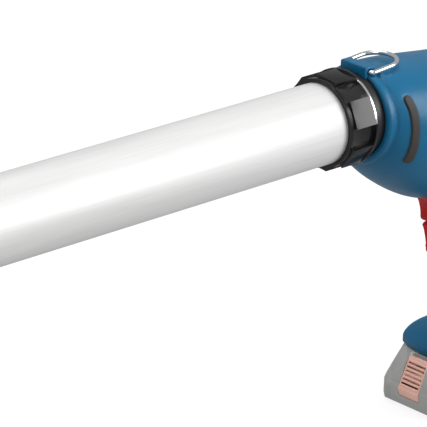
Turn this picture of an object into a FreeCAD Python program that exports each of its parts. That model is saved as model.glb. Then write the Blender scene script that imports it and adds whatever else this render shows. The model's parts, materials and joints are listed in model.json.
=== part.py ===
import FreeCAD, Part
import math
import os

# Battery-powered caulking gun: tube gun for foil packs with a rack-driven piston.
# Millimetres. +X to the rear, -X to the nozzle, +Z up, -Y the user's left side.
# Origin: centre of the battery's flat base.  Stations (s) are measured rearward from
# the coupling ring's front lip, heights (h) up from the tube's axis.

V = FreeCAD.Vector

RING_X = -172.0
AXIS_Z = 242.0


def st(s):
    return RING_X + s


def ht(h):
    return AXIS_Z + h


# ---- driving dimensions -------------------------------------------------------
TUBE_OR, TUBE_IR = 28.0, 26.8
TUBE_FRONT_S, TUBE_REAR_S = -350.0, 14.0
STROKE = 335.0

RING_LEN, RING_BORE, RING_CORE_R, RING_PAD_R = 22.0, 28.3, 30.2, 33.6
RING_LIP_R, RING_LIP_LEN = 30.9, 3.6
WASHER_R, WASHER_S0, WASHER_S1 = 32.3, 22.2, 24.2
NECK_R, NECK_S0, NECK_S1 = 30.0, 24.2, 41.8
NECK_STEP_R, NECK_STEP_S = 27.9, 14.3

PLATE_R, PLATE_S0, PLATE_S1 = 26.2, 4.0, 9.0
SEAL_R, SEAL_S0 = 26.5, -1.0
ROD_W, ROD_TOP, ROD_S0, ROD_S1 = 10.0, 7.0, 9.0, 548.0
RACK_M, PINION_T = 1.5, 12
RACK_PITCH_H, RACK_ADD, RACK_DED = -5.5, 1.05, 1.9
RACK_S0, RACK_S1 = 20.0, 522.0
GRIP_S0 = 524.0

WALL = 2.8

TRAIN_S = 72.0
RACK_AXIS_H = RACK_PITCH_H - RACK_M * PINION_T / 2.0
SPUR_M, WHEEL_T, IDLER_T = 1.25, 24, 12
CROSS_AXIS_H = RACK_AXIS_H - SPUR_M * (WHEEL_T + IDLER_T) / 2.0
BEVEL_M, BEVEL_PINION_T, BEVEL_WHEEL_T = 1.0, 16, 24
PLAN_M, SUN_T, PLANET_T, RING_T = 0.6, 18, 18, 54
SPIN_GAP = 0.05

MOTOR_R, MOTOR_S0, MOTOR_S1 = 19.5, 106.0, 146.0

BATT_S0, BATT_S1, BATT_W = 110.0, 230.0, 36.0
BASE_H = -242.0
FOOT_H0, FOOT_H1 = -207.5, -201.5


# ---- small helpers ---------------------------------------------------------------
def box(x0, x1, y0, y1, z0, z1):
    return Part.makeBox(x1 - x0, y1 - y0, z1 - z0, V(x0, y0, z0))


def sbox(s0, s1, y0, y1, h0, h1):
    return box(st(s0), st(s1), y0, y1, ht(h0), ht(h1))


def cyl_x(s0, s1, r, h=0.0, y=0.0):
    return Part.makeCylinder(r, s1 - s0, V(st(s0), y, ht(h)), V(1, 0, 0))


def cyl_y(y0, y1, r, s, h):
    return Part.makeCylinder(r, y1 - y0, V(st(s), y0, ht(h)), V(0, 1, 0))


def cyl_z(h0, h1, r, s, y=0.0):
    return Part.makeCylinder(r, h1 - h0, V(st(s), y, ht(h0)), V(0, 0, 1))


def ring_x(s0, s1, r_out, r_in, h=0.0, y=0.0):
    return cyl_x(s0, s1, r_out, h, y).cut(cyl_x(s0 - 1, s1 + 1, r_in, h, y))


def ring_y(y0, y1, r_out, r_in, s, h):
    return cyl_y(y0, y1, r_out, s, h).cut(cyl_y(y0 - 1, y1 + 1, r_in, s, h))


def turned_x(profile, h=0.0):
    """Solid of revolution about an X axis from (station, radius) points."""
    pts = [V(st(s), 0, ht(h) + r) for s, r in profile]
    wire = Part.makePolygon(pts + pts[:1])
    return Part.Face(wire).revolve(V(0, 0, ht(h)), V(1, 0, 0), 360)


def prism_y(points, y0, y1):
    """Prism along Y from (station, height) points."""
    pts = [V(st(s), y0, ht(h)) for s, h in points]
    return Part.Face(Part.makePolygon(pts + pts[:1])).extrude(V(0, y1 - y0, 0))


def fuse(shapes):
    out = shapes[0]
    if len(shapes) > 1:
        out = out.multiFuse(shapes[1:])
    return out.removeSplitter()


def joined(shapes):
    """Union one after another, keeping every face as it is."""
    out = shapes[0]
    for shape in shapes[1:]:
        out = out.fuse(shape)
    return out


def mirror_y(shape):
    return shape.mirror(V(0, 0, 0), V(0, 1, 0))


def smooth_fillet(shape, radius, picker):
    """Round the edges that picker accepts, when the kernel can."""
    edges = [e for e in shape.Edges if picker(e)]
    if not edges:
        return shape
    try:
        out = shape.makeFillet(radius, edges)
    except Exception:
        return shape
    return out if out.isValid() and out.Volume > 0 else shape


def is_along(edge, axis):
    if edge.Curve.TypeId != "Part::GeomLine":
        return False
    d = (edge.lastVertex().Point - edge.firstVertex().Point)
    return abs(abs(d.dot(axis)) - d.Length) < 1e-6


def export(name, shape):
    shape.exportStep("parts/%s.step" % name)


# ---- gears -------------------------------------------------------------------------
PRESSURE = math.radians(20.0)
FLANK_STEPS = 4


def involute(radius, base):
    a = math.acos(min(1.0, base / radius))
    return math.tan(a) - a


def tooth_half_angle(radius, pitch_r, teeth, thin):
    """Half the tooth's angle at a radius; thin is the backlash taken off one tooth."""
    base = pitch_r * math.cos(PRESSURE)
    half = math.pi / (2 * teeth) - thin / (2 * pitch_r)
    r = max(radius, base)
    return half + involute(pitch_r, base) - involute(r, base)


def gear_outline(teeth, module, add, ded, thin, phase=0.0):
    pitch_r = teeth * module / 2.0
    tip, root = pitch_r + add, pitch_r - ded
    radii = [root + (tip - root) * i / FLANK_STEPS for i in range(FLANK_STEPS + 1)]
    pts = []
    for k in range(teeth):
        mid = math.radians(phase) + 2 * math.pi * k / teeth
        for side, order in ((-1, radii), (1, radii[::-1])):
            for r in order:
                a = mid + side * tooth_half_angle(r, pitch_r, teeth, thin)
                pts.append(V(r * math.cos(a), r * math.sin(a), 0))
    return Part.makePolygon(pts + pts[:1])


def spur(teeth, module, add, ded, thin, width, bore, phase=0.0):
    """Spur gear along local Z from 0 to width."""
    gear = Part.Face(gear_outline(teeth, module, add, ded, thin, phase)).extrude(V(0, 0, width))
    if bore > 0:
        gear = gear.cut(Part.makeCylinder(bore, width + 2, V(0, 0, -1)))
    return gear


def onto_y(shape, s, y0, h):
    """Local Z to -Y then shifted so that local 0..w covers y0..y0+w."""
    out = shape.copy()
    out.rotate(V(0, 0, 0), V(1, 0, 0), 90)
    width = out.BoundBox.YLength
    out.translate(V(st(s), y0 + width, ht(h)))
    return out


def onto_x(shape, s0, h):
    """Local X to Y, local Y to Z, local Z to X."""
    out = shape.copy()
    m = FreeCAD.Matrix(0, 0, 1, st(s0), 1, 0, 0, 0, 0, 1, 0, ht(h), 0, 0, 0, 1)
    return moved(out, m)


def moved(shape, matrix):
    out = shape.copy()
    out.Placement = FreeCAD.Placement(matrix).multiply(shape.Placement)
    return out


def bevel(teeth, mate, module, add, ded, thin, face_part, bore, hub_r, hub_len, phase):
    """Straight bevel gear, apex at the origin, axis along local +Z."""
    r = teeth * module / 2.0
    z = mate * module / 2.0
    cone = math.hypot(r, z)
    sin_d, cos_d = r / cone, z / cone
    virtual_r = r / cos_d
    virtual_t = teeth / cos_d
    inner = 1.0 - face_part
    heights = [-ded - 0.25 * module] + [-ded + (ded + add) * i / 3.0 for i in range(4)]
    sides = []
    for v in heights:
        half = tooth_half_angle(virtual_r + max(v, -ded), virtual_r, virtual_t, thin)
        sides.append((half * (virtual_r + v), v))
    outline = [(-u, v) for u, v in sides] + [(u, v) for u, v in sides[::-1]]
    teeth_solids = []
    for k in range(teeth):
        turn = phase + 360.0 * k / teeth
        big = [V(r + v * cos_d, u, z - v * sin_d) for u, v in outline]
        small = [p * inner for p in big]
        ends = [Part.makePolygon(big + big[:1]), Part.makePolygon(small + small[:1])]
        tooth = Part.makeLoft(ends, True, True)
        tooth.rotate(V(0, 0, 0), V(0, 0, 1), turn)
        teeth_solids.append(tooth)
    root_r, root_z = r - ded * cos_d, z + ded * sin_d
    profile = [V(0, 0, root_z * inner), V(root_r * inner, 0, root_z * inner), V(root_r, 0, root_z),
               V(hub_r, 0, root_z + 0.6), V(hub_r, 0, root_z + hub_len), V(0, 0, root_z + hub_len)]
    blank = Part.Face(Part.makePolygon(profile + profile[:1])).revolve(V(0, 0, 0), V(0, 0, 1), 360)
    gear = blank.multiFuse(teeth_solids)
    if bore > 0:
        gear = gear.cut(Part.makeCylinder(bore, z * 3, V(0, 0, -z)))
    return gear


# ---- body sections -----------------------------------------------------------------
SECTION_POINTS = 28


def superellipse_wire(place, half_u, up, down, power_up, power_down):
    """Closed smooth wire; place maps (u, v) to a 3-D point."""
    pts = []
    for i in range(SECTION_POINTS):
        t = 2 * math.pi * i / SECTION_POINTS
        c, s = math.cos(t), math.sin(t)
        power = power_up if s >= 0 else power_down
        u = half_u * math.copysign(abs(c) ** (2.0 / power), c)
        v = (up if s >= 0 else down) * math.copysign(abs(s) ** (2.0 / power), s)
        pts.append(place(u, v))
    curve = Part.BSplineCurve()
    curve.interpolate(Points=pts, PeriodicFlag=True)
    return Part.Wire(curve.toShape())


# station, top, bottom, half width, height of the widest line
BODY = [(40.6, 31.4, -36.5, 35.5, -2.0), (45.0, 31.4, -43.0, 38.5, -3.5), (52.0, 31.4, -50.2, 41.2, -6.0),
        (64.0, 31.0, -59.2, 43.5, -10.0), (80.0, 29.8, -68.6, 44.5, -14.0), (98.0, 28.0, -75.4, 43.5, -18.0),
        (118.0, 26.0, -78.0, 40.5, -20.0), (140.0, 24.0, -76.0, 36.0, -21.0),
         (158.0, 21.6, -69.0, 31.0, -20.0),
        (170.0, 18.2, -58.0, 25.0, -18.0), (175.0, 14.8, -46.0, 18.5, -15.0)]
BODY_POWER_UP, BODY_POWER_DOWN = 2.25, 2.06
# height, centre station, half length, half width
HANDLE = [(-55.0, 138.0, 29.5, 24.0), (-72.0, 139.5, 26.0, 20.5), (-88.0, 141.0, 22.5, 18.0),
          (-108.0, 145.5, 21.5, 17.2), (-130.0, 151.0, 22.0, 17.4), (-152.0, 157.0, 22.5, 17.6),
          (-172.0, 163.5, 24.0, 19.5), (-184.0, 169.0, 29.5, 24.5), (-192.0, 174.0, 37.0, 31.0)]
HANDLE_POWER = 2.5
FOOT_LEVELS = [(-186.0, 29.0, 22.0), (-192.0, 40.0, 31.0), (-198.0, 46.0, 35.2), (-201.5, 48.0, 36.0)]
FOOT_C = 176.0


def body_loft(grow):
    wires = []
    for s, top, bottom, half_w, wide in BODY:
        place = (lambda s_, w_: lambda u, v: V(st(s_), u, ht(w_) + v))(s, wide)
        wires.append(superellipse_wire(place, half_w + grow, top - wide + grow, wide - bottom + grow,
                                       BODY_POWER_UP, BODY_POWER_DOWN))
    return Part.makeLoft(wires, True, False)


def handle_loft(grow):
    wires = []
    for h, centre, half_l, half_w in HANDLE:
        place = (lambda h_, c_: lambda u, v: V(st(c_) + v, u, ht(h_)))(h, centre)
        wires.append(superellipse_wire(place, half_w + grow, half_l + grow, half_l + grow,
                                       HANDLE_POWER, HANDLE_POWER))
    return Part.makeLoft(wires, True, False)


def foot_plan(h, half_l, half_w, shift=0.0):
    """Flat plan with a gently curved front, big rear corners."""
    x0, x1 = st(FOOT_C - half_l), st(FOOT_C + half_l)
    bow, corner_r = 4.0, 9.0
    z = ht(h)
    a = V(x0 + bow + 3.0, half_w - 2.0, z)
    b = V(x0 + bow + 3.0, -half_w + 2.0, z)
    front = Part.Arc(b, V(x0, 0, z), a).toShape()
    c = V(x0 + bow + corner_r, half_w, z)
    d = V(x1 - corner_r, half_w, z)
    e = V(x1, half_w - corner_r, z)
    mid_de = V(x1 - corner_r * 0.293, half_w - corner_r * 0.293, z)
    nose = Part.Arc(a, V(x0 + bow + 5.0, half_w - 0.6, z), c).toShape()
    edges = [front, nose, Part.makeLine(c, d), Part.Arc(d, mid_de, e).toShape()]
    c2, d2, e2 = V(c.x, -c.y, z), V(d.x, -d.y, z), V(e.x, -e.y, z)
    nose2 = Part.Arc(b, V(x0 + bow + 5.0, -half_w + 0.6, z), c2).toShape()
    edges += [Part.makeLine(e, e2), Part.Arc(e2, V(mid_de.x, -mid_de.y, z), d2).toShape(),
              Part.makeLine(d2, c2), nose2]
    return Part.Wire(Part.__sortEdges__(edges))


def foot_solid(grow):
    wires = [foot_plan(h, half_l + grow, half_w + grow) for h, half_l, half_w in FOOT_LEVELS]
    top = Part.makeLoft(wires, True, False)
    rim = Part.Face(foot_plan(FOOT_LEVELS[3][0], FOOT_LEVELS[3][1] + grow, FOOT_LEVELS[3][2] + grow))
    return top.fuse(rim.extrude(V(0, 0, FOOT_H0 - FOOT_H1)))


# collar bands round the barrel end: station, half width, top, bottom
COLLAR = [(33.0, 33.6, 31.4, -34.2), (34.4, 35.1, 32.6, -35.6), (38.6, 35.1, 32.6, -35.8),
          (39.6, 33.8, 31.6, -34.6), (40.6, 33.8, 31.6, -34.6), (41.8, 36.9, 33.0, -37.6),
          (44.6, 36.8, 33.0, -37.6), (47.6, 34.0, 30.8, -34.6)]
CAVITY_S0 = 47.4


def collar_bands():
    wires = []
    for s, half_w, top, bottom in COLLAR:
        place = (lambda s_: lambda u, v: V(st(s_), u, ht(v)))(s)
        wires.append(superellipse_wire(place, half_w, top, -bottom, 2.0, 2.0))
    return Part.makeLoft(wires, True, True)


def housing_outer():
    return joined([body_loft(0.0), handle_loft(0.0), foot_solid(0.0), collar_bands()])


def housing_inner():
    bore = cyl_x(29.0, CAVITY_S0 + 1.5, NECK_R + 0.1)
    cavity = body_loft(-WALL).common(sbox(CAVITY_S0, 200.0, -60.0, 60.0, -100.0, 60.0))
    return joined([cavity, handle_loft(-WALL), foot_solid(-WALL), bore])


SCREWS = [(50.0, -28.0), (100.0, 15.0), (136.0, 14.0), (96.0, -66.0), (161.0, -58.0), (141.0, -72.0),
          (150.0, -126.0), (160.0, -160.0), (150.0, -195.0)]
SCREW_HEAD_R, SCREW_SHANK_R, BOSS_R, HEAD_DEPTH, HEAD_LEN = 3.2, 1.5, 4.0, 4.4, 2.2
BOSS_INSET = 1.2


def surface_y(outer, s, h):
    """Half width of the housing at a station and height."""
    line = Part.makeLine(V(st(s), 0, ht(h)), V(st(s), 80, ht(h)))
    return line.common(outer).BoundBox.YMax


LUG_S0, LUG_S1, LUG_W, LUG_TOP, LUG_LOW = 31.2, 39.8, 11.6, 36.2, 26.0
PIVOT_S, PIVOT_H, WIRE_R, LEG_Y, LEG_L = 35.2, 32.1, 1.6, 14.3, 18.0
RING_LIE_DEG = 4.5


def hanger_lug():
    lug = sbox(LUG_S0, LUG_S1, -LUG_W, LUG_W, LUG_LOW, LUG_TOP)
    lug = lug.cut(cyl_x(20.0, 60.0, NECK_R + 0.15))
    lug = smooth_fillet(lug, 1.2, lambda e: e.CenterOfMass.z > ht(LUG_TOP) - 0.01)
    for y0, y1 in ((LUG_W - 2.5, LUG_W + 1.0), (-LUG_W - 1.0, -LUG_W + 2.5)):
        lug = lug.cut(cyl_y(y0, y1, WIRE_R + 0.7, PIVOT_S, PIVOT_H))
    return lug.cut(cyl_y(-30, 30, WIRE_R + 0.05, PIVOT_S, PIVOT_H))


def hanging_ring():
    """Closed D of round wire: straight bar in the lug, legs and a half-round bow."""
    leg = LEG_L
    c = 2.4
    a, b = V(0, -LEG_Y + c, 0), V(0, LEG_Y - c, 0)
    p1, p2 = V(c, LEG_Y, 0), V(leg, LEG_Y, 0)
    p3, p4 = V(leg, -LEG_Y, 0), V(c, -LEG_Y, 0)
    k = c * (1 - math.sqrt(0.5))
    edges = [Part.makeLine(a, b), Part.Arc(b, V(k, LEG_Y - k, 0), p1).toShape(), Part.makeLine(p1, p2),
             Part.Arc(p2, V(leg + LEG_Y, 0, 0), p3).toShape(), Part.makeLine(p3, p4),
             Part.Arc(p4, V(k, -LEG_Y + k, 0), a).toShape()]
    path = Part.Wire(edges)
    profile = Part.Wire([Part.makeCircle(WIRE_R, a, V(0, 1, 0))])
    ring = path.makePipeShell([profile], True, False)
    ring.rotate(V(0, 0, 0), V(0, 1, 0), -RING_LIE_DEG)
    ring.translate(V(st(PIVOT_S), 0, ht(PIVOT_H)))
    return ring


# centre line of the rubber side strip: station, height
STRIP = [(49.4, 15.7), (50.9, 8.0), (51.7, -3.0), (51.9, -15.0), (51.3, -26.7)]
STRIP_HALF, STRIP_PROUD, STRIP_DEEP = 2.8, 1.3, 0.9


def strip_prism(half, y0, y1):
    spline = Part.BSplineCurve()
    spline.interpolate([V(st(s), 0, ht(h)) for s, h in STRIP])
    sides = []
    for sign in (1, -1):
        pts = []
        for i in range(9):
            u = spline.FirstParameter + (spline.LastParameter - spline.FirstParameter) * i / 8.0
            p, t = spline.value(u), spline.tangent(u)[0]
            pts.append(p + V(-t.z, 0, t.x) * half * sign)
        c = Part.BSplineCurve()
        c.interpolate(pts if sign > 0 else pts[::-1])
        sides.append((c, pts))
    top_out = spline.value(spline.FirstParameter) - spline.tangent(spline.FirstParameter)[0] * half
    low_out = spline.value(spline.LastParameter) + spline.tangent(spline.LastParameter)[0] * half
    right, left = sides[0][1], sides[1][1]
    wire = Part.Wire([sides[0][0].toShape(), Part.Arc(right[-1], low_out, left[-1]).toShape(),
                      sides[1][0].toShape(), Part.Arc(left[0], top_out, right[0]).toShape()])
    face = Part.Face(wire)
    face.translate(V(0, y0, 0))
    return face.extrude(V(0, y1 - y0, 0))


def side_bumper(sign):
    y0, y1 = (-60.0, -15.0) if sign < 0 else (15.0, 60.0)
    skin = body_loft(STRIP_PROUD).cut(body_loft(-STRIP_DEEP))
    return skin.common(strip_prism(STRIP_HALF, y0, y1))


VENTS = [(s, -50.0, -32.0) for s in (116.0, 123.0, 130.0, 137.0, 144.0)]
BUTTON_S, BUTTON_R, DIAL_S, DIAL_H, DIAL_R = 152.0, 6.0, 211.0, -194.5, 8.5


def leg_grooves():
    """Shallow channels that the ring's legs lie in."""
    slope = math.radians(RING_LIE_DEG)
    along = V(math.cos(slope), 0, math.sin(slope))
    starts = [V(st(PIVOT_S), y, ht(PIVOT_H)) for y in (-LEG_Y, LEG_Y)]
    return [Part.makeCylinder(WIRE_R + 0.35, LEG_L, start, along) for start in starts]


def housing_cuts():
    cuts = [sbox(103.0, 133.0, -7.0, 7.0, -128.0, -73.5)]
    cuts.append(sbox(LUG_S0 - 0.1, LUG_S1 + 0.1, -LUG_W - 0.05, LUG_W + 0.05, LUG_LOW, 45.0))
    side = LEG_Y + 2.4
    cuts.append(sbox(32.0, 48.6, -side, side, 31.2, 45.0))
    cuts += [sbox(32.0, 41.0, y, y + side - 11.0, 29.8, 45.0) for y in (-side, 11.0)]
    cuts += leg_grooves()
    cuts += [sbox(s, s + 2.6, -60.0, 60.0, h0, h1) for s, h0, h1 in VENTS]
    cuts.append(cyl_z(10.0, 40.0, BUTTON_R + 0.4, BUTTON_S))
    cuts.append(sbox(DIAL_S - 10.0, DIAL_S + 12.0, -4.6, 4.6, -201.3, -180.0))
    cuts.append(strip_prism(STRIP_HALF + 0.05, -60.0, 60.0).cut(body_loft(-STRIP_DEEP - 0.02)))
    return cuts


def housings():
    outer, inner = housing_outer(), housing_inner()
    shell = outer.cut(inner)
    side = {"left": box(-400, 200, -80, 0, -10, 400), "right": box(-400, 200, 0, 80, -10, 400)}
    bosses, holes = {"left": [], "right": []}, []
    screws = []
    for s, h in SCREWS:
        y = surface_y(outer, s, h)
        seat = y - HEAD_DEPTH
        tip = -min(12.0, y - 6.0)
        bosses["right"].append(cyl_y(0.0, y - 1.3, BOSS_R, s, h))
        bosses["left"].append(cyl_y(tip - 4.0, 0.0, BOSS_R, s, h))
        bosses["left"].append(cyl_y(-y + 1.3, tip - 3.0, BOSS_R * 0.75, s, h))
        holes.append(cyl_y(tip - 1.0, 60.0, SCREW_SHANK_R + 0.05, s, h))
        holes.append(cyl_y(seat, 60.0, SCREW_HEAD_R + 0.25, s, h))
        head = cyl_y(seat + 0.02, seat + HEAD_LEN, SCREW_HEAD_R, s, h)
        socket = cyl_y(seat + 0.9, seat + 3.0, 1.3, s, h)
        screws.append(head.cut(socket).fuse(cyl_y(tip, seat + 0.02, SCREW_SHANK_R, s, h)))
    out = {}
    core = joined([body_loft(-BOSS_INSET), handle_loft(-BOSS_INSET), foot_solid(-BOSS_INSET)])
    for key in side:
        half = shell.common(side[key])
        for boss in bosses[key]:
            half = half.fuse(boss.common(core))
        for cutter in holes + housing_cuts():
            half = half.cut(cutter)
        out[key] = half
    return out, Part.makeCompound(screws)


# ---- barrel end --------------------------------------------------------------------
def barrel_tube():
    tube = ring_x(TUBE_FRONT_S, TUBE_REAR_S, TUBE_OR, TUBE_IR)
    return smooth_fillet(tube, 0.4, lambda e: abs(e.CenterOfMass.x - st(TUBE_FRONT_S)) < 0.01)


PAD_PITCH, PAD_SPAN, PAD_START = 60.0, 33.3, 139.0
WINDOW, SKIRT_S1 = (112.5, 172.3), 24.0


def coupling_ring():
    lip = ring_x(0.0, RING_LIP_LEN, RING_LIP_R, RING_BORE)
    core = ring_x(0.0, RING_LEN, RING_CORE_R, RING_BORE)
    ring = lip.fuse(core)
    pads = []
    for k in range(int(360.0 / PAD_PITCH)):
        start = PAD_START + k * PAD_PITCH
        a, b = math.radians(start), math.radians(start + PAD_SPAN)
        corners = [(RING_CORE_R - 1.2, a), (RING_PAD_R, a), (RING_PAD_R, b), (RING_CORE_R - 1.2, b)]
        pts = [V(r * math.cos(t), r * math.sin(t), 0) for r, t in corners]
        pad = Part.Face(Part.makePolygon(pts + pts[:1])).extrude(V(0, 0, RING_LEN - RING_LIP_LEN + 0.2))
        pads.append(onto_x(pad, RING_LIP_LEN - 0.2, 0.0))
    return ring.multiFuse(pads).cut(cyl_x(-1.0, RING_LEN + 1.0, RING_BORE)).fuse(rear_skirt())


def rear_skirt():
    """Thin skirt over the washer, open for a window on one side."""
    skirt = ring_x(RING_LEN - 0.4, SKIRT_S1, RING_PAD_R, WASHER_R + 0.35)
    skirt = skirt.fuse(ring_x(RING_LEN - 0.4, RING_LEN, RING_PAD_R, RING_CORE_R - 0.5))
    reach = 60.0
    corners = [(0.0, 0.0)] + [(reach * math.cos(math.radians(a)), reach * math.sin(math.radians(a)))
                              for a in (WINDOW[0], (WINDOW[0] + WINDOW[1]) / 2.0, WINDOW[1])]
    pts = [V(y, z, 0) for y, z in corners]
    wedge = Part.Face(Part.makePolygon(pts + pts[:1])).extrude(V(0, 0, 10.0))
    return skirt.cut(onto_x(wedge, RING_LEN - 1.0, 0.0))


def neck_collar():
    body = turned_x([(NECK_STEP_S, 0.0), (NECK_STEP_S, NECK_STEP_R), (NECK_S0, NECK_STEP_R),
                     (NECK_S0, NECK_R - 1.0), (NECK_S0 + 0.8, NECK_R), (NECK_S1, NECK_R), (NECK_S1, 0.0)])
    body = body.common(sbox(0.0, 60.0, -60, 60, -60, 60))
    body = body.cut(cyl_x(0, 60, 9.2))
    body = body.cut(ring_x(10.0, 21.0, 24.5, 14.0))
    return body


def rod_hole(s0, s1, gap):
    half, top = ROD_W / 2.0 + gap, ROD_TOP + gap
    return sbox(s0, s1, -half, half, RACK_PITCH_H - RACK_ADD - gap, top)


def rod_guides():
    front = cyl_x(26.0, 44.0, 9.1).cut(rod_hole(20.0, 50.0, 0.25))
    rear = sbox(156.0, 168.0, -9.0, 9.0, -11.0, 11.0).cut(rod_hole(150.0, 175.0, 0.25))
    rear = rear.cut(cyl_z(8.5, 40.0, BUTTON_R + 2.0, BUTTON_S))
    return Part.makeCompound([front, rear, button_seat()])


def rear_cap():
    plug = body_loft(-WALL - 0.1).common(sbox(170.0, 176.0, -60, 60, -90, 60))
    flange = body_loft(-1.0).common(sbox(174.9, 175.1, -60, 60, -90, 60))
    face = max(flange.Faces, key=lambda f: f.CenterOfMass.x)
    cap = plug.fuse(face.extrude(V(3.0, 0, 0)))
    return cap.cut(rod_hole(160.0, 190.0, 0.25))


def front_cap():
    lip_s, seat_s, skirt_s = -367.0, -355.0, -328.0
    profile = [(lip_s, 16.4), (lip_s, 27.0), (lip_s + 3.0, 31.0), (lip_s + 5.0, 32.0), (skirt_s - 1.0, 32.0),
               (skirt_s, 31.0), (skirt_s, TUBE_OR + 0.08), (seat_s + 0.4, TUBE_OR + 0.08),
               (seat_s + 0.4, 25.2)]
    cap = turned_x(profile)
    grooves = []
    for k in range(24):
        g = cyl_x(lip_s + 6.0, skirt_s - 3.0, 1.0, h=32.4)
        g.rotate(V(0, 0, AXIS_Z), V(1, 0, 0), 15.0 * k)
        grooves.append(g)
    return cap.cut(Part.makeCompound(grooves))


NOZZLE_TIP_S, NOZZLE_BORE = -442.0, 3.0


def nozzle():
    outer = [(-350.3, 27.6), (-354.2, 27.6), (-354.4, 24.6), (-367.0, 15.9), (-370.0, 14.0),
             (NOZZLE_TIP_S, 4.6)]
    inner = [(NOZZLE_TIP_S, NOZZLE_BORE), (NOZZLE_TIP_S + 12.0, NOZZLE_BORE), (-370.5, 12.0),
             (-367.5, 14.0), (-356.0, 22.6), (-352.5, 25.6), (-350.3, 25.8)]
    return turned_x(outer + inner)


# ---- rod and piston ---------------------------------------------------------------
def piston_rod():
    pitch = math.pi * RACK_M
    tan_a = math.tan(PRESSURE)
    half = pitch / 4.0 - 0.05
    tip_h, root_h = RACK_PITCH_H - RACK_ADD, RACK_PITCH_H + RACK_DED
    low = [(ROD_S0, tip_h), (RACK_S0, tip_h)]
    first = int(math.ceil((RACK_S0 - TRAIN_S) / pitch)) + 1
    last = int(math.floor((RACK_S1 - TRAIN_S) / pitch)) - 1
    low.append((TRAIN_S + first * pitch - half, tip_h))
    low[-1] = (TRAIN_S + (first - 0.5) * pitch + half - RACK_ADD * tan_a, tip_h)
    for k in range(first, last):
        mid = TRAIN_S + (k + 0.5) * pitch
        root_w, tip_w = half + RACK_DED * tan_a, half - RACK_ADD * tan_a
        previous_root = mid - pitch + root_w
        low += [(previous_root, root_h), (mid - root_w, root_h), (mid - tip_w, tip_h), (mid + tip_w, tip_h)]
    outline = low + [(ROD_S1, tip_h), (ROD_S1, ROD_TOP), (ROD_S0, ROD_TOP)]
    outline = [p for i, p in enumerate(outline) if i == 0 or p != outline[i - 1]]
    rod = prism_y(outline, -ROD_W / 2.0, ROD_W / 2.0)
    rod = rod.cut(cyl_x(0.0, 25.0, 2.05))
    return rod.cut(cyl_y(-20, 20, 1.5, 533.0, 0.0))


def piston_plate():
    plate = turned_x([(PLATE_S0, 2.5), (PLATE_S0, PLATE_R - 0.8), (PLATE_S0 + 0.8, PLATE_R),
                      (PLATE_S1 - 0.8, PLATE_R), (PLATE_S1, PLATE_R - 0.8), (PLATE_S1, 2.5)])
    dish = ring_x(PLATE_S0 + 2.6, PLATE_S1 + 1, 20.0, 12.0)
    return plate.cut(dish)


def piston_seal():
    return turned_x([(SEAL_S0, 2.5), (SEAL_S0, 23.5), (SEAL_S0 + 1.6, 25.4), (PLATE_S0 - 1.0, SEAL_R),
                     (PLATE_S0, SEAL_R), (PLATE_S0, 2.5)])


def rod_fasteners():
    """Piston screw and the pin through the rod's hand grip."""
    head = cyl_x(SEAL_S0 - 3.0, SEAL_S0, 5.5).cut(cyl_x(SEAL_S0 - 4.0, SEAL_S0 - 1.2, 2.2))
    screw = head.fuse(cyl_x(SEAL_S0, 23.0, 2.0))
    return Part.makeCompound([screw, cyl_y(-8.6, 8.6, 1.5, 533.0, 0.0)])


def rod_grip():
    socket = sbox(GRIP_S0, GRIP_S0 + 20.0, -9.0, 9.0, -12.0, 12.0)
    socket = smooth_fillet(socket, 2.5, lambda e: is_along(e, V(1, 0, 0)))
    centre = GRIP_S0 + 41.0
    loop = cyl_y(-6.5, 6.5, 25.0, centre, 0.0)
    loop = smooth_fillet(loop, 3.0, lambda e: abs(abs(e.CenterOfMass.y) - 6.5) < 0.01)
    grip = fuse([socket, loop]).cut(cyl_y(-20, 20, 16.0, centre, 0.0))
    grip = grip.cut(sbox(GRIP_S0 - 1, ROD_S1, -ROD_W / 2.0, ROD_W / 2.0, RACK_PITCH_H - RACK_ADD, ROD_TOP))
    return grip.cut(cyl_y(-20, 20, 1.5, 533.0, 0.0))


# ---- drive train --------------------------------------------------------------------
PLATE_Y0, PLATE_Y1, SHAFT_R, CROSS_R, BUSH_R = 20.0, 23.0, 4.0, 3.0, 6.5
ROLLER_R, ROLLER_PIN_R = 5.0, 2.0
ROLLER_H = ROD_TOP + 0.3 + ROLLER_R
CARRIER_S, PLANET_S0, PLANET_W = 91.0, 94.4, 7.0
PLANET_ORBIT = PLAN_M * (SUN_T + PLANET_T) / 2.0
PLANET_PIN_R, MOTOR_SHAFT_R = 1.6, 1.6


def side_plate(y0, y1):
    low_r, top_r = 10.0, 6.5
    parts = [cyl_y(y0, y1, low_r, TRAIN_S, CROSS_AXIS_H), cyl_y(y0, y1, low_r, TRAIN_S, RACK_AXIS_H)]
    parts.append(cyl_y(y0, y1, top_r, TRAIN_S, ROLLER_H))
    parts.append(sbox(TRAIN_S - low_r, TRAIN_S + low_r, y0, y1, CROSS_AXIS_H, RACK_AXIS_H))
    parts.append(sbox(TRAIN_S - top_r, TRAIN_S + top_r, y0, y1, RACK_AXIS_H, ROLLER_H))
    return fuse(parts)


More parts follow.
